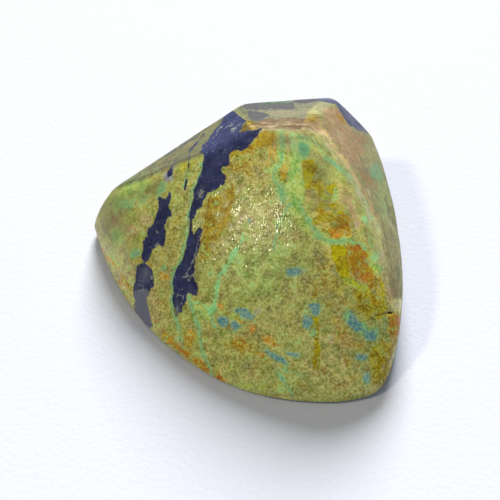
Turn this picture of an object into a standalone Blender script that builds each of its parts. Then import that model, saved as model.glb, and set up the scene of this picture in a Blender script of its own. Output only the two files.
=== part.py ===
"""A nugget of brochantite ore: one solid stone, ground to broad facets and tumbled smooth.

The stone is what is left when a lump is cut by faces, one after another. Each face is flat, or part
of a large ball where the stone is domed, and leaves a rounded edge where it meets the earlier ones.
The mesh is a cube grid whose points are pushed out along rays from the heart of the stone to that
surface. Each square is parted along the diagonal that lies closer to it.

Frame: +Z up, the stone lies on its flat face in Z = 0, and the origin is the bottom centre of its
box. The domed front looks towards -Y.
"""

from collections import namedtuple

import bmesh
import bpy
import numpy as np

MM = 0.001

# The point that every face is measured from, in mm. Each ray from it meets the surface once.
HEART = np.array((0.44, -0.88, 3.5))

# azimuth: degrees from +X towards +Y. tilt: degrees from straight up. reach: mm from the heart to
# the face, along its own direction. bulge: radius in mm of a domed face. edge: width in mm of the
# rounding where this face meets the earlier ones.
Face = namedtuple("Face", "azimuth tilt reach bulge edge")
FLAT = None

FACES = {
    "front": Face(-126, 39.5, 4.3, 37, 0),
    "right_front": Face(-38, 29, 7.5, 32, 1.5),
    "near_edge": Face(-81.5, 65.5, 10.2, 140, 3.0),
    "near_corner": Face(-58, 77.5, 14.75, 17, 1.5),
    "near_right": Face(-24, 80, 12.2, 60, 0.6),
    "right_side": Face(-2.5, 88, 11.1, 45, 0.8),
    "left_bevel": Face(-137, 56, 5.45, FLAT, 0.8),
    "left_end": Face(-158, 83, 9.45, 85, 2.0),
    "far_left": Face(127, 72.5, 10.35, FLAT, 0.4),
    "far_side": Face(91, 82.5, 11.95, FLAT, 0.4),
    "far_right": Face(40.5, 77.5, 15.75, 60, 0.4),
    "under_left": Face(-135, 120, 10.65, FLAT, 1.5),
    "under_near": Face(-82, 126, 13.6, FLAT, 2.0),
    "under_far": Face(108, 122, 10.6, FLAT, 1.2),
    "under_right": Face(8, 118, 10.9, FLAT, 1.2),
    "top": Face(100, 26.5, 9.15, FLAT, 0.35),
    "left_top": Face(145, 35, 7.85, FLAT, 0.35),
    "right": Face(-2.5, 50, 8.95, 65, 0.6),
    "rest": Face(0, 180, HEART[2], FLAT, 1.0),
}

GRID = 28  # squares along each side of the cube grid
FLATNESS = 0.5  # height over width of the ball that spreads the rays
LONGEST_RAY = 25.0
HALVINGS = 40

OLIVE = (0.26, 0.24, 0.05, 1.0)
ROUGHNESS = 0.35


def unit(vectors):
    return vectors / np.linalg.norm(vectors, axis=1, keepdims=True)


def face_direction(face):
    azimuth, tilt = np.radians((face.azimuth, face.tilt))
    across = np.sin(tilt)
    return np.array((across * np.cos(azimuth), across * np.sin(azimuth), np.cos(tilt)))


def over_face(points, face):
    """How far the points are outside a face, in mm."""
    direction = face_direction(face)
    if face.bulge is FLAT:
        return (points - HEART) @ direction - face.reach
    ball = HEART + direction * (face.reach - face.bulge)
    return np.linalg.norm(points - ball, axis=1) - face.bulge


def rounded_max(a, b, width):
    """The larger of two heights, with the edge between them rounded over a width."""
    near = np.clip(width - np.abs(a - b), 0, None) / width
    return np.maximum(a, b) + near * near * width / 4


def over_stone(points):
    """How far the points are outside the stone in mm, less than nothing inside it."""
    first, *later = FACES.values()
    height = over_face(points, first)
    for face in later:
        height = rounded_max(height, over_face(points, face), face.edge)
    return height


def surface_points(rays):
    """Where each ray leaves the stone, found by halving the stretch that holds the surface."""
    inside = np.zeros(len(rays))
    outside = np.full(len(rays), LONGEST_RAY)
    for _ in range(HALVINGS):
        middle = (inside + outside) / 2
        out = over_stone(HEART + rays * middle[:, None]) > 0
        outside = np.where(out, middle, outside)
        inside = np.where(out, inside, middle)
    return HEART + rays * inside[:, None]


def cube_grid():
    """The points and square faces of a cube of side 2 with a square grid on each side."""
    grid = bmesh.new()
    bmesh.ops.create_cube(grid, size=2.0)
    bmesh.ops.subdivide_edges(grid, edges=grid.edges[:], cuts=GRID - 1, use_grid_fill=True)
    bmesh.ops.recalc_face_normals(grid, faces=grid.faces[:])
    grid.verts.index_update()
    points = np.array([vert.co for vert in grid.verts])
    squares = np.array([[vert.index for vert in face.verts] for face in grid.faces])
    grid.free()
    return points, squares


def even_rays(cube_points):
    """Directions for the grid points, spread evenly over a flattened ball."""
    rays = unit(np.tan(cube_points * np.pi / 4))
    rays[:, 2] *= FLATNESS
    return unit(rays)


def halved(points, squares):
    """The two triangles of each square on one side and on the other side of its first diagonal,
    and how far the middle of that diagonal is from the surface."""
    a, b, c, d = squares.T
    gap = np.abs(over_stone((points[a] + points[c]) / 2))
    return np.stack([a, b, c], axis=1), np.stack([a, c, d], axis=1), gap


def triangles_of(points, squares):
    one, two, gap = halved(points, squares)
    other_one, other_two, other_gap = halved(points, np.roll(squares, 1, axis=1))
    keep = (gap <= other_gap)[:, None]
    return np.concatenate([np.where(keep, one, other_one), np.where(keep, two, other_two)])


def polished_ore():
    material = bpy.data.materials.new("polished_ore")
    material.use_nodes = True
    shader = material.node_tree.nodes["Principled BSDF"]
    shader.inputs["Base Color"].default_value = OLIVE
    shader.inputs["Roughness"].default_value = ROUGHNESS
    shader.inputs["Metallic"].default_value = 0.0
    return material


def make_stone():
    cube_points, squares = cube_grid()
    points = surface_points(even_rays(cube_points))
    triangles = triangles_of(points, squares)
    mesh = bpy.data.meshes.new("stone")
    mesh.from_pydata((points * MM).tolist(), [], triangles.tolist())
    mesh.materials.append(polished_ore())
    mesh.shade_smooth()
    stone = bpy.data.objects.new("stone", mesh)
    bpy.context.scene.collection.objects.link(stone)


def main():
    for obj in list(bpy.data.objects):
        bpy.data.objects.remove(obj)
    make_stone()


main()
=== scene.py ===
"""The looks of a ground nugget of brochantite ore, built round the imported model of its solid.

The stone's surface is made again, finer, from the same ground faces as the solid, with a little
relief. Its markings are drawn once, as seen from one fixed viewpoint in front of the stone, and
stored on the mesh as plain measures: how deep a point is in a dark vein, in a turquoise line and so
on. The side that this viewpoint doesn't reach gets the same ore by rule: veins are sheets that go on
through the rock, and stains are soft noise. The material turns the measures into colour and adds
the grain. Lengths are in millimetres up to the last step, which makes them metres.
"""

from collections import namedtuple
import math

import bmesh
import bpy
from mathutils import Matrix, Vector, noise
import numpy as np


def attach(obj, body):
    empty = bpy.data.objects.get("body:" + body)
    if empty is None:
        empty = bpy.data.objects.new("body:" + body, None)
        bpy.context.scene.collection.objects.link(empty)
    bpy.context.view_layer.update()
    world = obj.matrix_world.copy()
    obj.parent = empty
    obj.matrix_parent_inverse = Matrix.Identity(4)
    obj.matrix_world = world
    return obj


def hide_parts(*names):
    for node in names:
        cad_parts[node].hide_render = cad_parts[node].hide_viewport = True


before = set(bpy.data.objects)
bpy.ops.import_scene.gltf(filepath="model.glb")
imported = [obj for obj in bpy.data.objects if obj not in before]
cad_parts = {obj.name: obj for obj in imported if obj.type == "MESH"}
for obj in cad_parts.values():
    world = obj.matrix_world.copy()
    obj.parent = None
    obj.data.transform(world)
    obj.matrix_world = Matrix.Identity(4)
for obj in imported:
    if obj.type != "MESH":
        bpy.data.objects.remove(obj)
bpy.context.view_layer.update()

MM = 0.001

# ---- The viewpoint, and places drawn from it ----

FRAME_WIDTH = 500  # pixels across the square picture in which the markings are placed
VIEW_ELEVATION = math.radians(48)
VIEW_DISTANCE = 80.0
VIEW_ANGLE = math.radians(25)
VIEW_TARGET = np.array((0.44, -1.88, 5.0))
VIEW_FORWARD = np.array((0.0, math.cos(VIEW_ELEVATION), -math.sin(VIEW_ELEVATION)))
VIEW_UP = np.array((0.0, math.sin(VIEW_ELEVATION), math.cos(VIEW_ELEVATION)))
VIEW_RIGHT = np.array((1.0, 0.0, 0.0))
VIEWPOINT = VIEW_TARGET - VIEW_FORWARD * VIEW_DISTANCE
FOCAL_PIXELS = FRAME_WIDTH / 2 / math.tan(VIEW_ANGLE / 2)
# How squarely the surface faces the viewpoint where its drawn markings begin and are full.
SEEN_FACING = (0.02, 0.18)


def picture_places(points):
    """Where the points lie in the picture seen from the viewpoint, in pixels from its top left."""
    off = points - VIEWPOINT
    depth = off @ VIEW_FORWARD
    across = FRAME_WIDTH / 2 + FOCAL_PIXELS * (off @ VIEW_RIGHT) / depth
    down = FRAME_WIDTH / 2 - FOCAL_PIXELS * (off @ VIEW_UP) / depth
    return np.stack([across, down], axis=1)


def smooth_step(low, high, values):
    part = np.clip((values - low) / (high - low), 0, 1)
    return part * part * (3 - 2 * part)


def unit(vectors):
    return vectors / np.linalg.norm(vectors, axis=1, keepdims=True)


# ---- The shape of the stone ----

HEART = np.array((0.44, -0.88, 3.5))

# Degrees from +X towards +Y, degrees from straight up, mm from the heart, radius in mm of a domed
# face, and width in mm of the rounding where the face meets the earlier ones.
Face = namedtuple("Face", "azimuth tilt reach bulge edge")
FLAT = None

FACES = {
    "front": Face(-126, 39.5, 4.3, 37, 0),
    "right_front": Face(-38, 29, 7.5, 32, 1.5),
    "near_edge": Face(-81.5, 65.5, 10.2, 140, 3.0),
    "near_corner": Face(-58, 77.5, 14.75, 17, 1.5),
    "near_right": Face(-24, 80, 12.2, 60, 0.6),
    "right_side": Face(-2.5, 88, 11.1, 45, 0.8),
    "left_bevel": Face(-137, 56, 5.45, FLAT, 0.8),
    "left_end": Face(-158, 83, 9.45, 85, 2.0),
    "far_left": Face(127, 72.5, 10.35, FLAT, 0.4),
    "far_side": Face(91, 82.5, 11.95, FLAT, 0.4),
    "far_right": Face(40.5, 77.5, 15.75, 60, 0.4),
    "under_left": Face(-135, 120, 10.65, FLAT, 1.5),
    "under_near": Face(-82, 126, 13.6, FLAT, 2.0),
    "under_far": Face(108, 122, 10.6, FLAT, 1.2),
    "under_right": Face(8, 118, 10.9, FLAT, 1.2),
    "top": Face(100, 26.5, 9.15, FLAT, 0.35),
    "left_top": Face(145, 35, 7.85, FLAT, 0.35),
    "right": Face(-2.5, 50, 8.95, 65, 0.6),
    "rest": Face(0, 180, HEART[2], FLAT, 1.0),
}

GRID = 128  # squares along each side of the cube grid
FLATNESS = 0.6  # height over width of the ball that spreads the rays
RAY_LEAN = np.array((-0.1, -0.15, 0.3))  # draws the rays together on the front of the stone
LONGEST_RAY = 25.0
HALVINGS = 36


def face_direction(face):
    azimuth, tilt = np.radians((face.azimuth, face.tilt))
    across = np.sin(tilt)
    return np.array((across * np.cos(azimuth), across * np.sin(azimuth), np.cos(tilt)))


def over_face(points, face):
    """How far the points are outside a face, in mm."""
    direction = face_direction(face)
    if face.bulge is FLAT:
        return (points - HEART) @ direction - face.reach
    ball = HEART + direction * (face.reach - face.bulge)
    return np.linalg.norm(points - ball, axis=1) - face.bulge


def rounded_max(a, b, width):
    near = np.clip(width - np.abs(a - b), 0, None) / width
    return np.maximum(a, b) + near * near * width / 4


def over_stone(points):
    first, *later = FACES.values()
    height = over_face(points, first)
    for face in later:
        height = rounded_max(height, over_face(points, face), face.edge)
    return height


def outward(points):
    """The stone's outward direction at each point of its surface."""
    step = 0.02
    slopes = [over_stone(points + axis) - over_stone(points - axis) for axis in np.eye(3) * step]
    return unit(np.stack(slopes, axis=1))


def surface_points(rays):
    inside = np.zeros(len(rays))
    outside = np.full(len(rays), LONGEST_RAY)
    for _ in range(HALVINGS):
        middle = (inside + outside) / 2
        out = over_stone(HEART + rays * middle[:, None]) > 0
        outside = np.where(out, middle, outside)
        inside = np.where(out, inside, middle)
    return HEART + rays * inside[:, None]


def cube_grid():
    """The points and square faces of a cube of side 2 with a square grid on each side."""
    grid = bmesh.new()
    bmesh.ops.create_cube(grid, size=2.0)
    bmesh.ops.subdivide_edges(grid, edges=grid.edges[:], cuts=GRID - 1, use_grid_fill=True)
    bmesh.ops.recalc_face_normals(grid, faces=grid.faces[:])
    grid.verts.index_update()
    points = np.array([vert.co for vert in grid.verts])
    squares = [[vert.index for vert in face.verts] for face in grid.faces]
    grid.free()
    return points, squares


def leaning_rays(cube_points):
    rays = unit(np.tan(cube_points * np.pi / 4)) + RAY_LEAN
    rays[:, 2] *= FLATNESS
    return unit(rays)


# ---- Noise ----


SEED_SHIFT = (17.3, -9.1, 5.7)  # how far apart the noises of two seeds are taken


def wander(points, size, seed):
    """Smooth noise from -1 to 1 at the points, with lumps about the given size in mm."""
    shift = Vector([seed * part for part in SEED_SHIFT])
    return np.array([noise.noise(Vector(point) + shift) for point in points / size])


def layered(points, layers, seed):
    """Noises added up. Each layer is how far its noise goes, and the size of its lumps in mm."""
    return sum(reach * wander(points, size, seed + turn)
               for turn, (reach, size) in enumerate(layers))


# ---- Fine relief ----

UNEVENNESS = ((0.035, 2.4), (0.010, 0.5))  # layers of noise, in mm
UNEVENNESS_SEED = 1
RELIEF_RISE = 0.6  # mm above the rest face over which the relief grows from nothing

# A chip bitten out of the right side, and a crack with a small hole at its end. Depths are in mm.
CHIP_PLACE = (11.05, 1.5, 4.3)
CHIP_RADIUS = 1.5
CHIP_DEPTH = 0.16
CRACK = ((368, 320.5), (377, 315.5), (385, 313.3), (394, 312.2))
CRACK_HALF_WIDTH = 1.1  # pixels
CRACK_DARK = (1.26, 0.36)  # pixels from its middle where its painted shade begins and is full
CRACK_DEPTH = 0.10
HOLE = (391.0, 312.6)
HOLE_HALF_SIZE = (3.2, 1.5)
HOLE_DEPTH = 0.28


def segment_distance(places, start, end):
    """Each place's distance to a straight stretch, and how far along it the nearest point is."""
    start, end = np.array(start, float), np.array(end, float)
    run = end - start
    part = np.clip((places - start) @ run / (run @ run), 0, 1)
    return np.linalg.norm(places - start - part[:, None] * run, axis=1), part


def path_distance(places, path):
    """Distance to the nearest point of a path, and that point's place along it, from 0 to 1."""
    best = np.full(len(places), np.inf)
    along = np.zeros(len(places))
    for index, (start, end) in enumerate(zip(path, path[1:])):
        distance, part = segment_distance(places, start, end)
        closer = distance < best
        best = np.where(closer, distance, best)
        along = np.where(closer, (index + part) / (len(path) - 1), along)
    return best, along


def crack_depth(places):
    distance, along = path_distance(places, CRACK)
    groove = CRACK_DEPTH * np.clip(1 - distance / CRACK_HALF_WIDTH, 0, 1) * (0.4 + 0.6 * along)
    off = (places - HOLE) / HOLE_HALF_SIZE
    hole = HOLE_DEPTH * smooth_step(1, 0.4, np.linalg.norm(off, axis=1))
    return np.maximum(groove, hole)


def relief(points, places, seen):
    """How far each point stands above the ground faces, in mm."""
    height = layered(points, UNEVENNESS, UNEVENNESS_SEED) - sum(reach for reach, _ in UNEVENNESS)
    height -= CHIP_DEPTH * smooth_step(CHIP_RADIUS, 0, np.linalg.norm(points - CHIP_PLACE, axis=1))
    height -= crack_depth(places) * seen
    return height * smooth_step(0, RELIEF_RISE, points[:, 2])


# ---- Markings, in pixels of the picture seen from the viewpoint ----

MAIN_VEIN = (
    (176, 318.6), (174.3, 314.8), (172.7, 305), (171.6, 298.5), (173.2, 292), (172.2, 283.4),
    (173.2, 275.8), (176, 268.2), (179.2, 263.8), (181.9, 258.4), (185.2, 248.7), (186.8, 241.8),
    (188.4, 231), (188.4, 223.4), (189, 215.8), (190.6, 207), (192.8, 197.3), (192.8, 189.7),
    (197.1, 182.2), (200.3, 172.4), (202.5, 163.7), (203.1, 154), (199.3, 152.3), (202.5, 145.3),
    (210.1, 136.6), (214.4, 130.1), (219.9, 122.5), (224.2, 114.9), (230.2, 108), (241.5, 117),
    (246, 120), (242.5, 125), (239, 132), (245, 131), (252, 129.5), (262, 127.8), (256.3, 136.6),
    (249.8, 144.2), (245.9, 147.5), (241.5, 151.8), (235, 150.7), (230.2, 151.8), (228.5, 155.1),
    (229.6, 163.7), (225.8, 167.5), (222.6, 167), (222, 170.2), (225.3, 176.7), (225.8, 182.2),
    (224.2, 186), (219.9, 185.4), (217.7, 188.7), (213.4, 190.8), (210.1, 193), (206.9, 191.9),
    (205.8, 197.3), (203.1, 200.6), (201.4, 207.1), (195.5, 210.4), (194.9, 215.8), (192.3, 220.1),
    (192.2, 231), (193.2, 234.2), (197.1, 228.8), (199.8, 225.5), (202, 230), (200.9, 236.4),
    (200.3, 241.8), (198.2, 248.7), (195.5, 258.4), (194.4, 267), (195.5, 269.3), (191.7, 274.7),
    (189.5, 277.9), (193.8, 276.3), (196.5, 283.4), (198.2, 291), (196, 295.8), (192.8, 294.8),
    (189.5, 292), (185.7, 293.1), (185.7, 297.5), (185.2, 304), (182.5, 307.2), (181.9, 312.6),
    (178.1, 313.7),
)
LEFT_VEIN = (
    (159, 197), (162.5, 198.5), (166, 198.5), (169.4, 192.5), (169.8, 198.5), (168.4, 205),
    (171, 211.5), (171.6, 216.3), (165.6, 220), (165, 226.6), (166.2, 232), (164.6, 237.4),
    (164, 241.8), (164, 246), (162.9, 247.6), (158.1, 245), (154.8, 247), (151, 250.8), (150.5, 256.3),
    (147.2, 260.6), (144.5, 263.3), (149.4, 268.2), (152.6, 271.4), (154.3, 280), (153.7, 285.5),
    (150.5, 288.8), (148.3, 295.3), (146.1, 297.5), (147.2, 306), (149.4, 316), (151, 325.6),
    (149.4, 329.8), (140.7, 324.8), (134.4, 314.8), (134, 300.7), (133, 291), (133.7, 283.4),
    (134.2, 275.8), (136.4, 266), (142.3, 261.7), (140.7, 257), (142.3, 250), (142.9, 241.8),
    (146.7, 236.4), (147.8, 229.3), (152.1, 224.4), (154.8, 218), (157.5, 209.3), (158.1, 199.5),
)
VEIN_FRAGMENT = (
    (172.7, 164.8), (167.8, 169.7), (166.7, 175.6), (164, 178.9), (168.9, 176.7), (172.2, 173.5),
)
TOP_EDGE_VEIN = (
    (318, 101), (327, 102.5), (335, 103), (342, 113), (348, 123), (358, 129.5), (368, 133), (374, 134),
    (362, 118), (350, 104), (338, 92), (322, 92),
)
VEIN_OUTLINES = (MAIN_VEIN, LEFT_VEIN, VEIN_FRAGMENT, TOP_EDGE_VEIN)


class Stroke(namedtuple("Stroke", "width strength path")):
    """A line drawn on the stone: its half width in pixels, its strength up to 1 and its path."""


class Spot(namedtuple("Spot", "x y half_width half_height strength turn", defaults=(0,))):
    """A soft oval: centre and half sizes in pixels, strength, and turn in degrees clockwise."""


class Patch(namedtuple("Patch", "soft strength outline")):
    """An outlined area whose edge fades over the given number of pixels."""


SPOT_FALL = 0.7  # leaves a spot half its strength at its half width and half height
MARKINGS = {}
MARKINGS["turquoise"] = (
    Stroke(1.5, 0.95, (
        (281, 133), (283, 146), (281, 160), (275, 169), (273, 176), (276, 186), (281, 196), (283, 203),
    )),
    Spot(281, 191, 4.5, 8, 1, -20),
    Stroke(1.6, 0.7, ((283, 200), (288, 204), (291, 203))),
    Stroke(1.5, 0.9, ((291, 203), (284, 212), (278, 222), (276, 234), (273, 250))),
    Stroke(1.5, 0.95, (
        (300, 205), (307, 218), (314, 228.5), (321, 237), (330, 242), (343, 240.7), (351, 240),
        (359, 243.5), (366, 249),
    )),
    Spot(318, 234, 6, 4, 0.7, 50),
    Stroke(2.6, 0.9, ((326, 157), (334, 163.5), (343, 170), (351, 177))),
    Stroke(1.3, 0.75, ((351, 177), (362, 192), (368, 206), (371, 220))),
    Stroke(1, 0.65, ((345, 172), (357, 190), (364, 206), (367, 222))),
    Stroke(1.4, 0.6, ((367, 222), (370, 240), (376, 256))),
    Patch(3, 0.8, ((368, 170), (374, 164), (381, 163), (385, 176), (382, 182), (372, 178))),
    Spot(160, 188, 3.2, 7, 0.9, 8),
    Spot(126, 205, 9, 8, 0.65),
    Spot(143, 198, 5, 5, 0.65),
    Spot(135, 254, 7, 5, 0.65, -10),
    Spot(163.5, 268.5, 3, 3.2, 0.95),
    Stroke(1.2, 1.15, (
        (202, 163), (199.5, 172), (196, 182), (191.8, 190), (191.6, 197), (189.6, 207), (188, 216),
        (187.3, 224), (187.3, 231), (185.8, 241.5), (184, 249), (180.8, 258), (178, 263.5), (175, 268),
        (172.2, 275.5), (171.2, 283.4), (172, 292), (170.6, 298.5), (171.6, 305), (173.3, 315),
        (176, 320), (178, 330),
    )),
    Stroke(1, 0.9, ((187, 167), (185.4, 177), (183, 188))),
    Stroke(1.9, 0.9, (
        (188.5, 298), (192, 312), (198, 326), (200, 337), (201, 349), (206, 362), (213, 376),
    )),
    Spot(200, 340, 2.4, 8, 0.6, -5),
    Stroke(1.4, 0.6, ((177, 320), (180, 333), (183, 349))),
    Stroke(1.2, 0.75, ((211, 314), (213, 326), (219, 332), (231, 332.5), (245, 326))),
    Stroke(1, 0.7, ((229, 307), (236, 315), (246, 320), (254, 322))),
    Spot(266, 350, 3, 2, 0.6),
    Stroke(2.6, 0.8, ((277, 372), (284, 381), (291.5, 394))),
    Stroke(1.6, 0.6, ((284, 362), (286, 369), (293, 374), (302, 374))),
    Stroke(1.8, 0.75, ((384, 319), (386, 330))),
    Spot(294, 271, 10, 6.5, 0.6),
    Stroke(6.4, 0.8, ((348, 314), (356, 325), (366, 334), (374, 333))),
    Spot(308, 323, 7.5, 8.5, 0.65, 12),
    Spot(314, 309, 7, 8, 0.6),
    Spot(361, 357.7, 8, 5, 0.6),
    Spot(367, 378, 5, 10, 0.6, 4),
    Spot(293, 355, 11, 4.4, 0.6, 10),
    Stroke(4, 0.7, ((266, 350), (275, 356), (285, 363))),
)
MARKINGS["mint"] = (
    Stroke(1.3, 0.8, ((243, 234), (240, 243), (233, 254))),
    Stroke(2.1, 1, (
        (236, 249), (233, 254), (227, 266), (219, 277), (215.5, 290), (214.5, 302), (211.5, 312),
    )),
    Spot(211.5, 309.5, 4.5, 3.4, 1.1),
    Stroke(1, 0.7, ((194, 302), (204, 306), (211, 309))),
    Spot(293, 147, 4, 9, 0.5),
    Stroke(1, 0.6, ((303, 133), (312, 137), (318, 144), (320.5, 151))),
    Spot(376.5, 257.5, 4, 5.5, 0.6),
    Spot(364, 219, 1.6, 2.4, 1.1),
    Spot(350, 315.5, 3.4, 3, 0.6),
)
MARKINGS["emerald"] = (
    Spot(304.5, 149, 5, 7, 1.25, -20),
    Spot(300.5, 144, 3.4, 3, 0.9),
    Patch(1, 1.2, ((267, 103), (270, 99), (290, 98), (291, 102))),
    Spot(280, 191, 2, 5, 0.5, -10),
)
MARKINGS["teal"] = (
    Patch(2, 1.1, (
        (233, 309.3), (238, 307), (246, 308), (254, 315.6), (252, 320), (243.6, 316.4), (236.4, 313),
    )),
    Patch(2, 1.1, ((217, 318), (224, 315.6), (229.3, 320), (227.6, 327), (220.4, 327), (216, 322.7))),
    Patch(2, 1.1, ((230.2, 322.7), (236.4, 321.2), (242.7, 326), (234.7, 329.8), (230.2, 328))),
    Spot(294, 271, 7.5, 4, 1.2),
    Patch(2, 1.2, ((308, 304.7), (318.7, 302.7), (318.7, 315.5), (315.3, 316.5), (312, 310))),
    Patch(2.2, 1.2, ((304, 317), (311, 317.5), (313, 323), (310, 329), (304, 328.5), (302.5, 323))),
    Patch(2.4, 1.25, (
        (350, 312.5), (354, 315), (358, 319.3), (362, 326), (362.7, 331), (356.7, 330.7), (350.7, 327),
        (348, 321),
    )),
    Patch(2.2, 1.2, ((363, 331), (370, 333), (374.5, 329), (377, 335), (374, 340.5), (365, 338.5))),
    Spot(385.5, 324, 1.8, 5, 0.6),
    Stroke(2.6, 1.1, ((267, 351), (274, 355.6), (281, 360), (284.5, 362.5))),
    Spot(293, 355, 8, 2.8, 0.9, 10),
    Spot(361.3, 357.7, 6, 3.6, 1.1),
    Spot(367.3, 378, 3, 8, 0.8, 4),
    Spot(136, 254, 4, 3, 0.5),
    Spot(250, 221, 3.4, 3, 0.8),
    Spot(247, 365.5, 2.2, 1.6, 0.9),
    Stroke(1.2, 0.6, ((281, 377), (289, 390))),
    Stroke(1.6, 0.5, ((331, 161), (345, 172))),
)
MARKINGS["green"] = (
    Spot(134, 186, 20, 12, 0.9, -25),
    Spot(117, 202, 9, 14, 0.75, 20),
    Patch(3, 0.45, (
        (110, 186), (140, 164), (200, 128), (215, 120), (214, 132), (190, 152), (165, 164), (140, 176),
    )),
    Spot(117, 237, 9, 9, 0.9),
    Spot(112, 268, 10, 12, 0.6),
    Patch(4, 1.1, (
        (291, 134), (302, 132), (313, 138), (308, 160), (304, 200), (302, 218), (289, 216), (286, 190),
        (290, 165),
    )),
    Stroke(6, 0.8, ((281, 133), (282, 158), (275, 172), (280, 194), (290, 204))),
    Spot(285, 220, 12, 18, 0.75),
    Spot(319, 172, 10, 12, 0.5),
    Spot(335, 197, 3, 6, 0.9),
    Spot(306, 225, 8, 14, 0.8, -20),
    Spot(256, 268, 44, 46, 0.65),
    Stroke(5, 0.8, ((238, 246), (227, 266), (218, 280), (214, 300))),
    Spot(203, 311, 15, 11, 0.95),
    Spot(230, 300, 22, 26, 0.5),
    Stroke(5, 0.75, ((300, 205), (314, 228), (330, 242), (351, 240), (366, 248))),
    Stroke(7, 0.45, ((322, 138), (334, 154), (352, 178), (366, 204), (372, 232), (376, 256))),
    Spot(377, 268, 8, 5, 1.1),
    Spot(196, 340, 9, 24, 0.55, -10),
    Spot(384, 205, 8, 22, 0.6, -10),
    Spot(300, 318, 13, 22, 0.35),
    Spot(284, 384, 10, 13, 0.5),
    Spot(353, 323, 9, 9, 0.5, 30),
    # Painted highlight: the lower rim lit by light from the floor.
    Spot(249, 387, 20, 5, 0.7, 12),
    Spot(181, 192, 7, 24, 0.4, 12),
    Spot(228, 312, 20, 14, 0.5),
    Spot(296, 280, 20, 16, 0.4),
)
MARKINGS["lime"] = (
    Spot(367, 255, 3.4, 4, 1.1),
    Stroke(3, 1.1, ((347, 280), (356, 286), (366, 289.5))),
    Spot(374, 269, 7, 4, 0.8),
    Spot(326, 197, 6, 4, 0.8),
    Spot(385, 390, 9, 5, 0.6, -30),
    # Painted highlight: the lower rim lit by light from the floor.
    Spot(250, 386, 16, 3, 0.7, 10),
)
MARKINGS["ochre"] = (
    Patch(2.5, 1.2, (
        (259, 132), (276, 131), (275, 142), (262, 148), (252, 150), (240, 156), (230, 156), (229, 151),
        (246, 147.5), (256, 138),
    )),
    Spot(226, 172, 8, 14, 0.7, 10),
    Spot(244, 166, 16, 12, 0.6),
    Patch(5, 0.85, (
        (206, 200), (218, 191), (234, 185), (237, 200), (230, 222), (218, 242), (204, 262), (198, 262),
        (200, 236), (200, 214),
    )),
    Patch(1, 1.3, (
        (240, 131), (243, 125), (247, 120.5), (256, 121), (262, 124), (260, 128), (249, 129.5),
    )),
    Spot(312, 118, 6.5, 5, 1.3),
    Spot(270, 138, 6, 8, 0.9),
    Patch(4, 0.65, ((308, 200), (334, 200), (350, 212), (352, 234), (332, 238), (316, 226))),
    Patch(1.4, 1.1, ((284, 161), (289, 170), (286, 179), (281, 181), (278.5, 172))),
    Spot(190.5, 341, 7, 13, 0.85),
    Spot(238, 346, 13, 8, 0.8),
    Spot(260, 354, 8, 5, 0.75),
    Spot(160, 300, 9, 34, 0.35, -8),
    Patch(2, 0.45, ((112, 262), (121, 271), (131, 286), (134, 309), (126, 300), (117, 284))),
    Spot(141, 262, 12, 5, 0.6, 20),
    Spot(314.7, 295.3, 3, 3.4, 1.1),
    Stroke(1.8, 0.9, ((222, 312), (235, 318), (246, 323))),
    Spot(389, 352, 9, 36, 0.9, 10),
    Spot(377, 290, 9, 12, 0.8, -10),
    Spot(330, 386, 44, 10, 0.25),
    Spot(168, 232, 9, 30, 0.2, 12),
)
MARKINGS["orange"] = (
    Stroke(1.3, 0.9, ((274.5, 135), (275, 148), (273, 160))),
    Stroke(1.1, 0.8, ((270, 135), (270.5, 150), (267, 166))),
    Stroke(1.3, 0.8, ((287, 133), (288, 142))),
    Spot(283.5, 171, 3.4, 7, 0.7),
    Spot(221, 306.5, 3, 3.8, 1.1),
    Spot(252.5, 330, 6.5, 4.5, 1, 42),
    Spot(268.5, 340.5, 8.5, 4.2, 1, 35),
    Spot(261, 354.6, 6, 3.2, 0.8),
    Spot(163.5, 276.7, 5, 3.2, 1.1, 10),
    Stroke(2.2, 0.5, ((112, 262), (121, 276), (130, 298))),
    Spot(341, 117, 4.5, 8, 0.8, -40),
    Spot(337.5, 235, 5.5, 2.8, 1.1, -10),
    Spot(366, 176, 10, 5, 0.55, 45),
    Spot(190, 330, 5, 8, 0.6),
    Stroke(2, 0.8, ((100, 248), (106, 258), (112, 264))),
)
MARKINGS["rust"] = (
    Stroke(3.4, 1, ((163, 336), (175, 346), (187, 355), (203, 367), (222, 381))),
    Spot(190, 337, 6, 10, 0.6),
    Patch(3, 0.85, (
        (346, 244), (363, 243), (369, 254), (367, 262), (374, 270), (376, 278), (366, 284), (355, 279),
        (349, 267), (346, 256),
    )),
    Stroke(1, 0.9, ((349, 251), (361, 250))),
    Stroke(1, 0.9, ((349, 257.5), (364, 259))),
    Stroke(1.1, 0.9, ((350, 264), (364, 266))),
    Stroke(1.1, 0.9, ((352, 271), (370, 272.5))),
    Stroke(1, 0.8, ((355, 277), (367, 278))),
    Spot(373, 290, 8, 10, 0.5, -20),
    Spot(324, 210, 4, 2.2, 1),
    Patch(3, 0.9, ((326, 228), (349, 222), (354, 236), (334, 238))),
    Spot(344, 219, 7, 7, 0.9),
    Spot(322, 223, 9, 3, 0.5, 10),
    Patch(2, 1.2, ((388, 315), (396, 314), (402, 318), (400, 334), (394, 338), (390, 326))),
    Spot(238, 344, 12, 6, 0.6),
    Spot(392, 292, 6, 12, 0.5, -4),
    Spot(376, 300, 9, 6, 0.5),
)
MARKINGS["umber"] = (
    Spot(312, 182, 6, 5, 0.6),
    Spot(321, 174, 7, 6, 0.6),
    Spot(326, 205, 9, 3.2, 0.8),
    Spot(342, 216, 6, 5, 0.6),
    Spot(357, 262, 9, 14, 0.7, -20),
    Patch(4, 0.6, ((354, 296), (366, 294), (381, 297), (381, 314), (366, 317), (356, 309))),
    Spot(386, 350, 6, 18, 0.5, 8),
    Spot(367.3, 351.3, 1.6, 1.4, 1.3),
)
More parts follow.
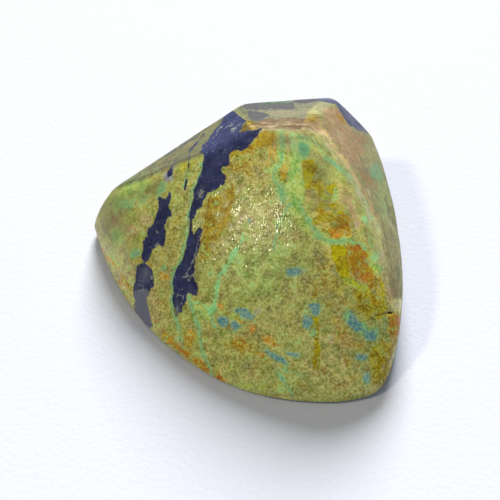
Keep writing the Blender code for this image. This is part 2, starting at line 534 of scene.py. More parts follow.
MARKINGS["mustard"] = (
    Patch(1.4, 1.4, (
        (331.5, 245), (345, 245), (348, 257), (349, 268), (351, 277), (357, 284), (350, 285),
        (341, 277), (335.5, 265), (332, 254),
    )),
    Patch(3, 0.75, (
        (302, 158), (314, 157), (318, 168), (314, 178), (313, 189), (304, 188), (302, 172),
    )),
    Spot(320, 186, 10, 8, 0.7),
    Spot(331, 188.5, 5, 4.5, 1.4),
    Spot(321, 193.5, 6, 3.4, 0.8),
    Patch(2.5, 0.75, ((319, 202), (335, 202), (336, 209), (322, 209))),
    Spot(340, 212, 5, 2.4, 1),
    Spot(315, 221, 5, 3.4, 0.9),
    Patch(4, 0.5, ((312, 206), (336, 200), (350, 212), (352, 234), (332, 238), (318, 228))),
    Patch(0.8, 1, ((312.7, 318), (319.5, 318), (319.5, 369), (313, 370), (314.5, 345))),
    Spot(316, 286, 2.4, 12, 0.6),
    Stroke(1.2, 1, ((381, 276), (383, 292), (384.5, 308))),
    Stroke(1, 0.9, ((385.5, 284), (386, 300), (386.5, 310))),
    Patch(5, 0.6, ((368, 346), (386, 342), (391, 354), (384, 376), (374, 388), (369, 372))),
    Patch(4, 0.6, ((352, 288), (372, 290), (386, 300), (386, 318), (370, 322), (356, 310))),
    Spot(240, 350, 26, 16, 0.2),
    Spot(176, 225, 8, 34, 0.4, 10),
    Spot(162, 262, 10, 20, 0.3, 20),
    Spot(184, 165, 9, 14, 0.55, 20),
    Spot(300, 350, 16, 26, 0.2),
    Spot(345, 365, 30, 16, 0.2),
    Patch(6, 0.45, (
        (322, 244), (334, 250), (350, 285), (366, 300), (372, 350), (350, 388), (330, 330), (318, 280),
    )),
    Spot(209, 240, 6, 16, 0.4, 10),
)
MARKINGS["worn"] = (
    Stroke(4.4, 1.1, (
        (252, 126), (270, 125), (290, 125), (306, 126), (318, 132), (330, 144), (344, 163), (357, 184),
        (368, 208), (378, 238), (385, 270), (390, 296),
    )),
    Spot(284, 124, 26, 4, 0.9),
    Stroke(5, 0.6, ((362, 196), (372, 226), (380, 256))),
    Spot(389, 262, 7, 34, 0.7, -6),
    Patch(6, 0.55, (
        (322, 112), (345, 120), (372, 168), (394, 240), (400, 300), (384, 300), (366, 215), (340, 160),
        (318, 134),
    )),
)
MARKINGS["tan"] = (
    Patch(2, 1.1, (
        (253, 121.5), (262, 118.5), (300, 117), (318, 117), (324, 124), (334, 140), (326, 138),
        (314, 130), (296, 128.5), (262, 128.5),
    )),
    Patch(5, 0.9, (
        (322, 108), (336, 106), (347, 124), (358, 134), (366, 146), (362, 166), (350, 164), (336, 144),
        (324, 126),
    )),
    Stroke(4, 0.8, ((330, 140), (346, 162), (360, 184), (374, 214))),
    Spot(392, 262, 7, 30, 0.3, -6),
    Spot(342, 330, 24, 50, 0.5),
)
MARKINGS["rosy"] = (
    Spot(361, 140, 10, 11, 0.9, -30),
    Patch(4, 0.8, ((354, 166), (364, 164), (376, 178), (380, 192), (370, 190))),
    Spot(341, 116, 5, 9, 0.7, -35),
    Spot(392, 290, 7, 16, 0.8, -4),
    Spot(316, 226, 7, 3, 0.5, 15),
    Spot(357.5, 224, 3.4, 7, 0.9),
    Spot(130, 229, 9, 7, 0.8),
    Spot(113, 220, 6, 8, 0.9),
    Spot(150, 165, 20, 3.5, 0.45, -27),
    Spot(335, 305, 9, 34, 0.5, -6),
    Spot(350, 205, 7, 24, 0.8, -22),
    Spot(186, 352, 26, 15, 0.45, 35),
    Spot(327, 280, 8, 20, 0.45, -8),
    Spot(145, 220, 9, 8, 0.8),
    Spot(118, 278, 8, 20, 0.7, -20),
    Spot(152, 300, 12, 30, 0.55, -8),
    Spot(275, 146, 3, 12, 0.6),
)
MARKINGS["slate"] = (
    Patch(1.2, 1.2, (
        (242, 104), (248, 100), (268, 102.5), (294, 102), (295, 108.5), (270, 109), (246, 109),
    )),
    Patch(1.2, 1.1, (
        (247, 111.5), (256, 110.5), (264, 112), (270, 114.5), (264, 117), (262, 120), (250, 119.5),
    )),
    Patch(0.8, 1.4, ((292, 98), (338, 92), (338, 101), (318, 101.5), (296, 102.5))),
    Spot(168, 176, 6, 5, 0.65),
    Stroke(2.4, 0.7, ((166, 178), (172, 168), (177, 158))),
    Stroke(1.4, 0.5, ((355, 279), (366, 280.5))),
    Spot(257, 311, 7, 5, 0.4),
    Spot(356.5, 226, 2.6, 6, 0.6),
    Stroke(1.4, 0.8, ((165, 156), (182, 145), (200, 133))),
    Spot(388, 240, 5, 20, 0.35, -6),
    Stroke(4, 0.5, ((104, 262), (112, 280), (122, 298), (136, 316))),
)
# Pale cream stone. Some of the marks below are painted highlights.
MARKINGS["cream"] = (
    Spot(314, 201, 2, 2.4, 0.8),
    Spot(315, 213.5, 3.6, 3.2, 1),
    Spot(330, 211.5, 3, 1.8, 0.9),
    Spot(326, 225, 7, 2.4, 0.9, 5),
    Spot(338, 231, 3, 2, 0.7),
    Stroke(1, 0.9, ((281, 353), (295, 362), (313, 372.4))),
    Stroke(1, 0.9, ((262, 340), (270, 346), (281, 353))),
    # Painted highlight: a faint line along the lower rim.
    Stroke(1.1, 0.9, ((322, 363), (337, 375), (343, 378), (350, 381))),
    # Painted highlights: a glint line and spots down the edge of the mustard band, then two spots on
    # the lower rim.
    Stroke(0.9, 1.2, ((326.5, 246), (330, 250), (330.7, 256), (332.7, 263.5))),
    Stroke(0.8, 0.8, ((335, 269), (339.5, 281))),
    Spot(343.3, 295.3, 2.2, 2.2, 1.1),
    Spot(346, 306.5, 1.8, 3.6, 0.9),
    Spot(337.3, 375.3, 3, 1.6, 1.2),
    Spot(357.3, 374, 2, 1.8, 1.3),
    Patch(2.5, 0.9, ((264, 111), (298, 109), (318, 106), (318, 112), (300, 116), (266, 117))),
    Spot(250, 108, 14, 2, 0.5),
    Stroke(0.9, 0.7, ((317, 226), (328, 228), (346, 231))),
    Stroke(0.9, 0.6, ((319, 222), (332, 224))),
    Stroke(1, 0.9, (
        (317, 117), (330, 140), (343, 156.5), (354, 175), (365, 191), (371, 203), (381, 223),
    )),
    Patch(2.5, 0.7, (
        (110, 186), (140, 168), (176, 147), (212, 124), (222, 118), (200, 140), (188, 150), (176, 156),
        (150, 166), (125, 181),
    )),
    Spot(329, 272, 6, 16, 0.55, -8),
    Spot(336, 302, 6, 16, 0.5, -6),
    Spot(256, 308, 5, 3, 0.6),
    Stroke(1, 0.7, ((384, 320), (385, 329))),
)
# Grey over the dark veins. It is partly dust and partly a painted sheen, where a vein faces the floor
# or lies on a top facet seen at a glancing angle.
MARKINGS["dust_and_sheen"] = (
    Patch(1.4, 1.1, ((134, 290), (148, 288), (150, 300), (153, 333), (140, 328), (130, 308))),
    Spot(143.5, 275, 10, 14, 0.55),
    Spot(177, 309, 4, 8, 0.8),
    Spot(190, 288, 6, 8, 0.3),
    Stroke(6, 0.8, ((318, 98), (336, 96), (348, 112), (362, 128), (372, 136))),
)
MARKINGS["chalk"] = (
    Spot(200.5, 194, 3, 5.5, 1, 20),
    Stroke(0.7, 1, ((226, 128), (233, 122.5))),
    Stroke(0.7, 1, ((231, 131), (240, 123.5))),
    Stroke(0.7, 0.9, ((213, 137), (218, 129), (222, 126))),
    Stroke(0.8, 1, ((196, 246), (194, 258), (191, 266), (186, 274))),
    Stroke(0.8, 1.1, ((182, 277.5), (188, 275.5), (193, 274), (196, 279))),
    Spot(189, 279.5, 1.8, 1.5, 1.2),
    Stroke(0.6, 0.9, ((176, 298), (178.5, 294), (182, 297), (181, 303))),
    Stroke(0.6, 0.8, ((203, 229), (199, 240), (195, 254))),
    Spot(156, 231, 1.6, 1.6, 1.2),
    Spot(156, 244, 2, 1.4, 1.2),
    Spot(150.5, 277.5, 1.4, 2.2, 1.3),
    Stroke(0.8, 0.9, ((139, 285), (143, 287), (143, 291), (139, 290))),
    Spot(176, 312, 2.4, 4, 0.7, 10),
)
# This measure quiets the grain and also paints shade. It scales the colour down on the top, right and
# back facets and on the left end, where the lamps light the stone hardest, and up on the lively faces.
MARKINGS["calm_and_shade"] = (
    Patch(5, 1, (
        (300, 94), (350, 94), (400, 150), (406, 300), (392, 300), (380, 230), (346, 162), (324, 132),
        (304, 132), (298, 116),
    )),
    Patch(3, 1.24, (
        (96, 190), (140, 160), (215, 116), (234, 108), (250, 124), (254, 131), (202, 154), (162, 172),
        (120, 188),
    )),
    Patch(3, 1.27, ((234, 108), (238, 94), (330, 94), (310, 112), (302, 130), (260, 129), (250, 122))),
    Spot(110, 218, 24, 44, 0.9),
    Spot(148, 190, 34, 14, 0.8, -22),
    Spot(116, 272, 14, 24, 0.3, -15),
    Spot(132, 258, 14, 34, 0.6, -10),
    Spot(167, 280, 12, 26, 0.5, -8),
    Spot(190, 358, 34, 20, 0.5, 35),
    Spot(322, 190, 24, 38, 0.8, -20),
    Spot(318, 170, 24, 24, 1),
    Spot(350, 205, 10, 28, 0.7, -25),
    Spot(286, 140, 30, 12, 1),
    Stroke(8, 0.7, ((340, 166), (352, 188), (368, 226), (376, 256))),
    Stroke(5, 1.4, ((103, 192), (113, 187), (146, 175), (177, 161.5), (200, 152.5), (240, 140))),
    Spot(304, 150, 16, 16, 0.9),
    Spot(358, 262, 14, 20, 0.75, -20),
    Spot(342, 222, 14, 12, 0.9),
    Spot(224, 206, 14, 26, 0.5, 10),
    Stroke(3, 1.25, ((234, 108), (250, 121), (260, 129))),
    Spot(320, 106, 13, 8, 1.15),
    Stroke(7, 0.5, ((398, 318), (395, 340), (389, 365), (378, 388))),
    Stroke(7, 1, ((280, 137), (305, 137), (322, 146), (330, 154))),
)
RIDGE = (
    (150, 128), (250, 124), (290, 123), (310, 125), (320, 134), (332, 148), (347, 168), (360, 188),
    (370, 212), (380, 242), (386, 272), (391, 297), (396, 400),
)
STREAK_PATH = ((203.6, 133.4), (189.5, 150.7), (188.4, 163.7), (187.3, 172.4), (184.6, 189.2))


def outline_depth(places, outline):
    """How deep each place is inside a closed outline, negative outside."""
    inside = np.zeros(len(places), bool)
    nearest = np.full(len(places), np.inf)
    x, y = places[:, 0], places[:, 1]
    for start, end in zip(outline, outline[1:] + outline[:1]):
        nearest = np.minimum(nearest, segment_distance(places, start, end)[0])
        if start[1] != end[1]:
            crossing = start[0] + (y - start[1]) * (end[0] - start[0]) / (end[1] - start[1])
            inside ^= ((y < start[1]) != (y < end[1])) & (x < crossing)
    return np.where(inside, nearest, -nearest)


def marked(places, marking):
    """How strongly a marking covers each place: its strength in the middle, 0 well outside."""
    if isinstance(marking, Stroke):
        distance, _ = path_distance(places, marking.path)
        return marking.strength * np.clip(1 - distance / (2 * marking.width), 0, 1)
    if isinstance(marking, Patch):
        depth = outline_depth(places, marking.outline)
        return marking.strength * smooth_step(-marking.soft, marking.soft, depth)
    turn = math.radians(marking.turn)
    off = places - (marking.x, marking.y)
    along = (off[:, 0] * math.cos(turn) + off[:, 1] * math.sin(turn)) / marking.half_width
    across = (off[:, 1] * math.cos(turn) - off[:, 0] * math.sin(turn)) / marking.half_height
    return marking.strength * np.exp(-SPOT_FALL * (along ** 2 + across ** 2))


# ---- The ore beyond the viewpoint's reach ----

# A vein goes on through the rock as a sheet through three places on its trace, this thick in mm.
Sheet = namedtuple("Sheet", "places thickness seed")
SHEETS = (
    Sheet(((-0.6, 9.1, 8.5), (-3.1, 3.8, 9.2), (-4.6, -5.5, 2.7)), 1.5, 11),
    Sheet(((-4.9, 6.3, 7.1), (-6.3, -0.5, 5.4), (-7.0, -4.8, 1.0)), 1.1, 12),
    Sheet(((4.2, 9.5, 8.9), (6.8, 10.0, 8.7), (8.7, 9.6, 6.6)), 1.0, 13),
)
SHEET_BEND = ((0.9, 5.0), (0.25, 0.9))  # layers of noise, in mm
# A sheet's thickness is this share of what is given, more or less by a noise.
SHEET_SHARE = 0.7
SHEET_PINCH = ((0.9, 4.0),)
PIXELS_PER_MM = 14.0
VEIN_LIMIT = 8  # pixels from a vein's outline beyond which its measure no longer changes
STREAK_HALF_WIDTH = 0.8  # pixels

# Lumps of the given size in mm show where their noise is above the level.
Lumps = namedtuple("Lumps", "size level strength seed")
HIDDEN = {
    "teal": Lumps(1.3, 0.42, 0.9, 21),
    "green": Lumps(3.6, 0.12, 0.6, 22),
    "ochre": Lumps(3.4, 0.16, 0.55, 23),
    "orange": Lumps(1.8, 0.40, 0.7, 24),
    "rust": Lumps(2.6, 0.30, 0.55, 25),
    "mustard": Lumps(3.0, 0.14, 0.6, 26),
    "rosy": Lumps(4.0, 0.20, 0.6, 27),
    "slate": Lumps(2.2, 0.42, 0.6, 28),
    "cream": Lumps(2.4, 0.32, 0.5, 29),
}
HIDDEN_THREAD = Lumps(6.0, 0.035, 0.9, 31)  # turquoise, where the noise is this near 0
# The side beyond the viewpoint's reach is quiet, and this value also paints it in shade.
HIDDEN_CALM_AND_SHADE = 1.08

# The drawn markings wobble across and down by these layers of noise, in pixels over lumps in mm.
WOBBLE = ((1.8, 0.55), (1.2, 0.22))
WOBBLE_SEEDS = (41, 43)
# The surface's bend where an edge begins to show and is full.
EDGE_BEND = (0.25, 1.0)


def sheet_depth(points, sheet):
    a, b, c = np.array(sheet.places)
    normal = np.cross(b - a, c - a)
    normal /= np.linalg.norm(normal)
    bend = layered(points, SHEET_BEND, sheet.seed)
    share = SHEET_SHARE + layered(points, SHEET_PINCH, sheet.seed + len(SHEET_BEND))
    return sheet.thickness / 2 * share - np.abs((points - a) @ normal + bend)


def ruled_marking(points, name):
    """A marking's measure where the viewpoint doesn't reach."""
    if name == "calm_and_shade":
        return np.full(len(points), HIDDEN_CALM_AND_SHADE)
    if name == "turquoise":
        off = np.abs(wander(points, HIDDEN_THREAD.size, HIDDEN_THREAD.seed))
        return HIDDEN_THREAD.strength * np.clip(1 - off / HIDDEN_THREAD.level, 0, 1)
    if name not in HIDDEN:
        return np.zeros(len(points))
    lumps = HIDDEN[name]
    lump = wander(points, lumps.size, lumps.seed)
    return lumps.strength * smooth_step(lumps.level - 0.1, lumps.level + 0.2, lump)


def measures(points, places, seen):
    """What the material needs to know at each point of the surface, by name."""
    loose = places + np.stack([layered(points, WOBBLE, seed) for seed in WOBBLE_SEEDS], axis=1)
    drawn = np.max([outline_depth(places, outline) for outline in VEIN_OUTLINES], axis=0)
    drawn = np.maximum(drawn, STREAK_HALF_WIDTH - path_distance(places, STREAK_PATH)[0])
    ruled = np.max([sheet_depth(points, sheet) for sheet in SHEETS], axis=0) * PIXELS_PER_MM
    vein = seen * drawn + (1 - seen) * ruled
    found = {"vein": np.clip(vein, -VEIN_LIMIT, VEIN_LIMIT)}
    for name, markings in MARKINGS.items():
        held = places if name == "calm_and_shade" else loose
        drawn = np.max([marked(held, marking) for marking in markings], axis=0)
        found[name] = seen * drawn + (1 - seen) * ruled_marking(points, name)
    found["across"], found["along"] = ridge_coordinates(places)
    # The crack and its hole are painted dark, as shade.
    crack, along = path_distance(places, CRACK)
    begin, full = CRACK_DARK
    thin = np.clip((begin - crack) / (begin - full), 0, 1) * (0.5 + 0.4 * along)
    found["crack"] = seen * np.maximum(thin, crack_depth(places) / CRACK_DEPTH)
    found["edge"] = edge_measure(points)
    return found


def ridge_coordinates(places):
    """Signed pixels across the worn ridge and pixels along it."""
    across = np.full(len(places), np.inf)
    along = np.zeros(len(places))
    done = 0.0
    ridge = np.array(RIDGE, float)
    for start, end in zip(ridge, ridge[1:]):
        distance, part = segment_distance(places, start, end)
        run = end - start
        side = np.sign((places[:, 0] - start[0]) * run[1] - (places[:, 1] - start[1]) * run[0])
        closer = distance < np.abs(across)
        across = np.where(closer, side * distance, across)
        length = np.linalg.norm(run)
        along = np.where(closer, done + part * length, along)
        done += length
    return across, along


def edge_measure(points):
    """How sharply the surface turns near each point, from 0 on a face to 1 on a crisp edge."""
    step = 0.35
    bend = -6 * over_stone(points)
    for axis in np.eye(3) * step:
        bend += over_stone(points + axis) + over_stone(points - axis)
    return smooth_step(*EDGE_BEND, bend / step)


# ---- The material ----


def tone(colour):
    """A colour from its screen values of 0 to 255."""
    parts = np.array(colour) / 255
    linear = np.where(parts > 0.04045, ((parts + 0.055) / 1.055) ** 2.4, parts / 12.92)
    return (*linear, 1.0)


class Nodes:
    """Short ways to add nodes to a material or a world."""

    def __init__(self, tree):
        self.tree = tree
        tree.nodes.clear()

    def put(self, value, socket):
        if isinstance(value, bpy.types.NodeSocket):
            self.tree.links.new(value, socket)
        else:
            socket.default_value = value

    def add(self, kind, inputs=(), **settings):
        node = self.tree.nodes.new(kind)
        for name, value in settings.items():
            setattr(node, name, value)
        for name, value in dict(inputs).items():
            self.put(value, node.inputs[name])
        return node

    def surface(self, inputs):
        """Ends a material in one shader with these inputs."""
        shader = self.add("ShaderNodeBsdfPrincipled", inputs)
        self.add("ShaderNodeOutputMaterial", {"Surface": shader.outputs[0]})

    def math(self, operation, total, *values):
        """The values taken together, one after another."""
        for value in values:
            node = self.add("ShaderNodeMath", {0: total, 1: value}, operation=operation)
            total = node.outputs[0]
        return total

    def plus(self, *values):
        return self.math("ADD", *values)

    def times(self, *values):
        return self.math("MULTIPLY", *values)

    def off_middle(self, value):
        return self.math("SUBTRACT", value, 0.5)

    def ramp(self, value, low, high, bottom=0.0, top=1.0):
        """Bottom below low, top above high, smooth between them."""
        inputs = {"Value": value, "From Min": low, "From Max": high, "To Min": bottom,
                  "To Max": top}
        node = self.add("ShaderNodeMapRange", inputs, interpolation_type="SMOOTHSTEP")
        return node.outputs[0]

    def less(self, share, least):
        """1 where the share is 0, down to the least where it is 1."""
        return self.ramp(share, 0.0, 1.0, 1.0, least)

    def mix(self, share, under, over, blend="MIX"):
        """Two colours mixed. A colour is a socket or three screen values of 0 to 255."""
        node = self.add("ShaderNodeMix", data_type="RGBA", blend_type=blend)
        for index, value in ((0, share), (6, under), (7, over)):
            self.put(tone(value) if isinstance(value, tuple) else value, node.inputs[index])
        return node.outputs[2]

    def combined(self, red, green, blue):
        node = self.add("ShaderNodeCombineColor", {"Red": red, "Green": green, "Blue": blue})
        return node.outputs[0]

    def noise(self, where, scale, detail, roughness, distortion=0.0, **settings):
        inputs = {"Vector": where, "Scale": scale, "Detail": detail, "Roughness": roughness,
                  "Distortion": distortion}
        return self.add("ShaderNodeTexNoise", inputs, **settings).outputs["Fac"]

    def fibre(self, where, scale, seed, width):
        """1 along thin winding threads, 0 between them."""
        lumps = self.noise(where, scale, 2.0, 0.55, 0.5, noise_dimensions="4D")
        lumps.node.inputs["W"].default_value = seed
        return self.ramp(self.math("ABSOLUTE", self.off_middle(lumps), 0.0), width, 0.0)

    def measure(self, name):
        return self.add("ShaderNodeAttribute", attribute_name=name).outputs["Fac"]

    def coat(self, colour, name, coat, edge_noise, turn):
        """The colour with a marking laid over it, and the share that the marking covers."""
        ragged = self.times(edge_noise, 2 * coat.ragged)
        ragged = self.plus(self.measure(name), ragged)
        share = self.ramp(ragged, coat.start, coat.full, 0.0, coat.cover)
        return self.mix(share, colour, self.mix(turn, coat.tone, coat.other_tone)), share


# How a marking shows: its two tones in screen values, how far its edge is ragged, where it begins
# and is full, and how much it covers.
Coat = namedtuple("Coat", "tone other_tone ragged start full cover")
STAINS = {
    "tan": Coat((168, 136, 100), (182, 152, 118), 0.8, 0.25, 0.85, 0.9),
    "rosy": Coat((162, 124, 96), (154, 132, 98), 0.8, 0.25, 1.00, 0.8),
    "ochre": Coat((146, 120, 12), (124, 100, 14), 1.4, 0.20, 0.90, 0.85),
    "green": Coat((112, 148, 74), (148, 164, 82), 1.0, 0.20, 0.90, 0.9),
    "mustard": Coat((148, 138, 0), (128, 112, 0), 0.7, 0.25, 0.75, 0.95),
    "lime": Coat((146, 158, 36), (138, 148, 50), 0.8, 0.30, 0.80, 0.9),
    "umber": Coat((102, 86, 4), (120, 98, 8), 1.0, 0.30, 0.90, 0.85),
    "rust": Coat((142, 82, 10), (144, 112, 18), 1.0, 0.30, 0.85, 0.9),
    "orange": Coat((172, 116, 34), (162, 126, 40), 0.8, 0.30, 0.80, 0.85),
}
MATT_STAINS = ("ochre", "mustard", "umber", "rust", "tan", "rosy")
INLAYS = {
    # Cream is pale stone, and in places a painted highlight.
    "cream": Coat((194, 180, 104), (168, 158, 84), 0.8, 0.30, 0.90, 0.65),
    "slate": Coat((118, 119, 133), (131, 129, 134), 0.7, 0.30, 0.70, 0.9),
    "turquoise": Coat((94, 148, 108), (114, 150, 86), 0.8, 0.15, 0.80, 0.85),
    "mint": Coat((104, 182, 130), (126, 174, 104), 1.0, 0.15, 0.90, 0.8),
    "teal": Coat((76, 110, 112), (100, 138, 120), 0.6, 0.25, 0.85, 0.95),
    "emerald": Coat((47, 124, 84), (80, 140, 86), 0.6, 0.20, 0.90, 0.9),
}
MATRIX_TONES = (120, 115, 62), (154, 149, 79)
# Tones that tint the matrix: its most share, and where its noise begins to show it and is full.
MATRIX_TINTS = (
    ("patches", 0.38, 0.44, 0.62, (126, 144, 62)),
    ("hue", 0.24, 0.50, 0.70, (160, 126, 40)),
    ("hue", 0.28, 0.50, 0.30, (106, 128, 66)),
)
WORN_TONE = (152, 126, 103)
PALE_SCRATCH, DARK_SCRATCH = (198, 186, 148), (112, 84, 54)
# Sharp edges turn paler, partly with wear and partly as a painted highlight.
RUBBED_AND_LIT_EDGE = (176, 162, 116)
VEIN_TONES = (39, 46, 84), (56, 64, 107)
# The first tone is the grey of dust and painted sheen on the veins.
DUST_AND_SHEEN_TONE, SPECK_TONE, CHALK_TONE = (118, 121, 138), (136, 138, 150), (158, 160, 152)
# Painted shade in the crack and its hole.
CRACK_SHADE_TONE = (34, 26, 8)
GLINT_DEPTH = 0.031 * MM
# The noises that the whole material shares: lumps per metre, detail, roughness and distortion.
NOISES = {
    "grain": (5500, 2, 0.6),
    "blotch": (1500, 0, 0.5, 0.3),
    "mottle": (1300, 3, 0.5),
    "patches": (520, 3, 0.5),
    "hue": (1500, 1, 0.4),
    "speck": (6500, 1, 0.5),
}


def matrix_colour(nodes, noises):
    """The green-gold ground of the ore."""
    colour = nodes.mix(nodes.ramp(noises["mottle"], 0.34, 0.66), *MATRIX_TONES)
    for name, most, start, full, tint in MATRIX_TINTS:
        colour = nodes.mix(nodes.ramp(noises[name], start, full, 0.0, most), colour, tint)
    return colour


def lay_markings(nodes, noises, colour, edge_noise):
    """The colour under its stains and inlays, how matt they leave it, and the share inlaid."""
    turn = nodes.ramp(noises["blotch"], 0.38, 0.62)
    matt = inlaid = 0.0
    for name, coat in STAINS.items():
        colour, share = nodes.coat(colour, name, coat, edge_noise, turn)
        if name in MATT_STAINS:
            matt = nodes.math("MAXIMUM", matt, share)
    turn = nodes.ramp(noises["grain"], 0.2, 0.8)
    speckled = nodes.plus(edge_noise, nodes.times(nodes.off_middle(noises["grain"]), 0.7))
    for name, coat in INLAYS.items():
        colour, share = nodes.coat(colour, name, coat, speckled, turn)
        inlaid = nodes.math("MAXIMUM", inlaid, share)
        if name == "slate":
            matt = nodes.math("MAXIMUM", matt, share)
    return colour, matt, inlaid


def painted_shade_and_grain(nodes, noises, where, colour, matt, inlaid, lively):
    """The colour scaled up where the stone is lively and down where this measure is high, which paints
    shade on the top, right and back facets and the left end, where the lamps light the stone hardest,
    with light and dark grain added.
    """
    calm_and_shade = nodes.measure("calm_and_shade")
    # Painted shade: the colour is scaled down where this measure is high.
    painted_shade_scale = nodes.ramp(calm_and_shade, 0.3, 1.5, 2.26, 0.30)
    colour = nodes.mix(1.0, colour, nodes.combined(painted_shade_scale, painted_shade_scale, painted_shade_scale), "MULTIPLY")
    light = nodes.plus(nodes.ramp(noises["grain"], 0.32, 0.68, -0.175, 0.175),
                       nodes.times(nodes.fibre(where, 2300, 1.0, 0.045), 0.10),
                       nodes.times(nodes.fibre(where, 2000, 2.0, 0.035), -0.09))
    light = nodes.times(light, lively, nodes.less(inlaid, 0.5),
                        nodes.ramp(calm_and_shade, 0.8, 1.5, 1.0, 0.5))
    blue = nodes.times(light, nodes.ramp(matt, 0.0, 1.0, 0.5, 0.0))
    colour = nodes.mix(1.0, colour, nodes.combined(light, light, blue), "ADD")
    colour.node.clamp_result = True
    return colour


def scratch(nodes, noises, colour, edge_noise, matt, lively):
    """The colour with scratches along the worn ridge, how worn it is, and the scratches' noise."""
    run = nodes.add("ShaderNodeCombineXYZ", {
        "X": nodes.times(nodes.measure("across"), 0.5),
        "Y": nodes.times(nodes.measure("along"), 0.05),
    })
    lines = nodes.noise(run.outputs[0], 1.0, 3, 0.7, 0.6)
    worn = nodes.ramp(nodes.plus(nodes.measure("worn"), edge_noise), 0.25, 1.0)
    share = nodes.times(worn, nodes.ramp(lines, 0.5, 0.40, 0.25, 0.6))
    colour = nodes.mix(share, colour, WORN_TONE)
    colour = nodes.mix(nodes.times(worn, nodes.ramp(lines, 0.50, 0.60), 0.8), colour, PALE_SCRATCH)
    colour = nodes.mix(nodes.times(worn, nodes.ramp(lines, 0.40, 0.33), 0.7), colour, DARK_SCRATCH)
    # Paler sharp edges: wear, and a painted edge highlight.
    rubbed_and_lit = nodes.times(nodes.measure("edge"), nodes.ramp(noises["mottle"], 0.4, 0.62, 0.0, 0.5),
                         nodes.less(matt, 0.1), nodes.ramp(lively, 0.35, 1.0))
    return nodes.mix(rubbed_and_lit, colour, RUBBED_AND_LIT_EDGE), worn, lines


def lay_veins(nodes, noises, colour, edge_noise):
    """The colour with the dark veins, their chalky threads and painted shade in the crack, and the
    veins' share.
    """
    frayed = nodes.times(nodes.off_middle(noises["grain"]), 5.0)
    vein = nodes.plus(nodes.measure("vein"), nodes.times(edge_noise, 5.0), frayed)
    vein = nodes.ramp(vein, -0.25, 0.45)
    dark = nodes.mix(nodes.ramp(noises["mottle"], 0.35, 0.65), *VEIN_TONES)
    # Dust and painted sheen turn the veins grey here.
    dust_and_sheen = nodes.ramp(nodes.plus(nodes.measure("dust_and_sheen"), edge_noise), 0.1, 1.0)
    dark = nodes.mix(dust_and_sheen, dark, DUST_AND_SHEEN_TONE)
    dark = nodes.mix(nodes.ramp(noises["speck"], 0.66, 0.74, 0.0, 0.7), dark, SPECK_TONE)
    colour = nodes.mix(vein, colour, dark)
    chalk = nodes.times(nodes.off_middle(noises["grain"]), 2.6)
    chalk = nodes.ramp(nodes.plus(nodes.measure("chalk"), chalk), 0.4, 0.9, 0.0, 0.8)
    colour = nodes.mix(chalk, colour, CHALK_TONE)
    return nodes.mix(nodes.ramp(nodes.measure("crack"), 0.35, 0.9), colour, CRACK_SHADE_TONE), vein


def ore_material():
    material = bpy.data.materials.new("brochantite_ore")
    material.use_nodes = True
    nodes = Nodes(material.node_tree)
    where = nodes.add("ShaderNodeTexCoord").outputs["Object"]
    noises = {name: nodes.noise(where, *look) for name, look in NOISES.items()}
    edge_noise = nodes.plus(nodes.times(noises["mottle"], 0.5), nodes.times(noises["blotch"], 0.5))
    edge_noise = nodes.off_middle(edge_noise)
    lively = nodes.ramp(nodes.measure("calm_and_shade"), 0.1, 0.9, 1.0, 0.35)

    colour = matrix_colour(nodes, noises)
    colour, matt, inlaid = lay_markings(nodes, noises, colour, edge_noise)
    colour = painted_shade_and_grain(nodes, noises, where, colour, matt, inlaid, lively)
    colour, worn, lines = scratch(nodes, noises, colour, edge_noise, matt, lively)
    colour, vein = lay_veins(nodes, noises, colour, edge_noise)
    matt = nodes.math("MAXIMUM", matt, nodes.times(vein, 0.8))

    rough = nodes.math("MAXIMUM", nodes.ramp(noises["hue"], 0.36, 0.66, 0.12, 0.36),
                       nodes.ramp(lively, 0.35, 0.8, 0.50, 0.0))
    rough = nodes.plus(rough, nodes.times(matt, 0.3), nodes.times(worn, 0.35),
                       nodes.times(nodes.measure("edge"), 0.3), nodes.times(vein, 0.14))
    # Small tilted facets make the glints. They are drawn out along Y and Z.
    drawn_out = nodes.add("ShaderNodeMapping", {"Vector": where, "Scale": (1.15, 0.45, 0.45)})
    facets = nodes.noise(drawn_out.outputs[0], 7500, 1, 0.5)
    height = nodes.plus(facets, nodes.times(noises["mottle"], 0.3))
    height = nodes.times(height, nodes.times(lively, lively), nodes.less(vein, 0.45),
                         nodes.less(worn, 0.4), nodes.less(matt, 0.6))
    height = nodes.plus(height, nodes.times(lines, worn, 0.5))
    bump = nodes.add("ShaderNodeBump", {"Height": height, "Strength": 1.0, "Distance": GLINT_DEPTH})
    nodes.surface({
        "Base Color": colour,
        "Roughness": rough,
        "Specular IOR Level": nodes.ramp(matt, 0.0, 1.0, 0.5, 0.15),
        "Normal": bump.outputs[0],
        "IOR": 1.5,
    })
    return material


# ---- The pieces, the lights and the camera ----

FLOOR_HALF_SIZE = 3.0  # metres
FLOOR_LEVEL = -0.02 * MM  # clear of the flat face that rests on it
FLOOR_COLOUR = (0.81, 0.84, 0.96, 1)
SKY_COLOUR = (0.78, 0.87, 1.0, 1)
Sun = namedtuple("Sun", "towards strength spread colour")
SUNS = {
    "key_light": Sun((-0.60, -0.20, 0.77), 0.70, 6, (1.0, 0.88, 0.62)),
    "back_light": Sun((0.07, 0.84, 0.55), 4.7, 24, (1.0, 0.99, 0.98)),
    "fill_light": Sun((0.05, -0.70, 0.68), 0.37, 90, (0.88, 0.94, 1.0)),
}


def placed(name, data):
    made = bpy.data.objects.new(name, data)
    bpy.context.scene.collection.objects.link(made)
    return made


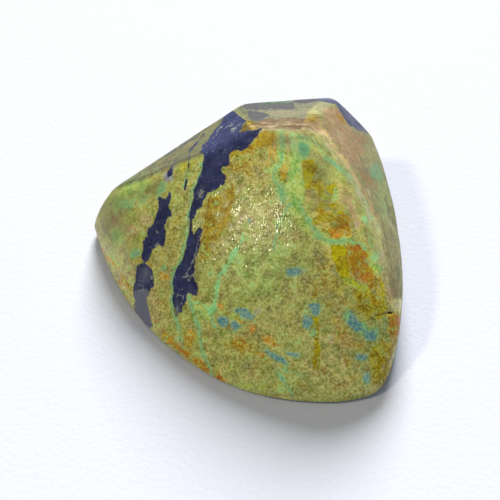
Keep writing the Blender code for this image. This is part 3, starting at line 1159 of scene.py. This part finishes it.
def make_stone():
    cube_points, squares = cube_grid()
    points = surface_points(leaning_rays(cube_points))
    normals = outward(points)
    places = picture_places(points)
    facing = np.sum(normals * unit(VIEWPOINT - points), axis=1)
    seen = smooth_step(*SEEN_FACING, facing)
    found = measures(points, places, seen)
    points = points + normals * relief(points, places, seen)[:, None]
    points[:, 2] = np.clip(points[:, 2], 0, None)
    mesh = bpy.data.meshes.new("stone_surface")
    mesh.from_pydata((points * MM).tolist(), [], squares)
    mesh.polygons.foreach_set("use_smooth", np.ones(len(squares), bool))
    for name, values in found.items():
        mesh.attributes.new(name, "FLOAT", "POINT").data.foreach_set("value", values)
    mesh.materials.append(ore_material())
    mesh.validate()
    return placed("ore_nugget", mesh)


def make_floor():
    corners = [(x * FLOOR_HALF_SIZE, y * FLOOR_HALF_SIZE, FLOOR_LEVEL)
               for x, y in ((-1, -1), (1, -1), (1, 1), (-1, 1))]
    mesh = bpy.data.meshes.new("floor")
    mesh.from_pydata(corners, [], [(0, 1, 2, 3)])
    material = bpy.data.materials.new("pale_floor")
    material.use_nodes = True
    nodes = Nodes(material.node_tree)
    where = nodes.add("ShaderNodeTexCoord").outputs["Object"]
    grain = nodes.noise(where, 2500, 3, 0.6)
    bump = nodes.add("ShaderNodeBump", {"Height": grain, "Strength": 0.5, "Distance": 0.06 * MM})
    nodes.surface({"Base Color": FLOOR_COLOUR, "Roughness": 0.8, "Normal": bump.outputs[0]})
    mesh.materials.append(material)
    return placed("floor", mesh)


def make_suns():
    for name, sun in SUNS.items():
        light = bpy.data.lights.new(name, "SUN")
        light.energy = sun.strength
        light.angle = math.radians(sun.spread)
        light.color = sun.colour
        placed(name, light).rotation_euler = Vector(sun.towards).to_track_quat("Z", "Y").to_euler()


def make_world():
    """A dim pale blue sky, a little brighter overhead."""
    world = bpy.data.worlds.new("studio")
    bpy.context.scene.world = world
    world.use_nodes = True
    nodes = Nodes(world.node_tree)
    where = nodes.add("ShaderNodeTexCoord").outputs["Generated"]
    height = nodes.add("ShaderNodeSeparateXYZ", {"Vector": where}).outputs["Z"]
    background = nodes.add("ShaderNodeBackground", {
        "Color": SKY_COLOUR, "Strength": nodes.ramp(height, 0.0, 0.6, 0.078, 0.112),
    })
    nodes.add("ShaderNodeOutputWorld", {"Surface": background.outputs[0]})


def make_camera():
    camera = bpy.data.cameras.new("camera")
    camera.lens = camera.sensor_width / 2 / math.tan(VIEW_ANGLE / 2)
    camera.clip_start = 0.002
    camera.clip_end = 20
    stand = placed("camera", camera)
    stand.location = VIEWPOINT * MM
    stand.rotation_euler = (math.pi / 2 - VIEW_ELEVATION, 0, 0)
    bpy.context.scene.camera = stand


bpy.context.scene.view_settings.view_transform = "Standard"
make_camera()
make_world()
make_suns()
stone = make_stone()
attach(stone, "root")
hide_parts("stone")
make_floor()
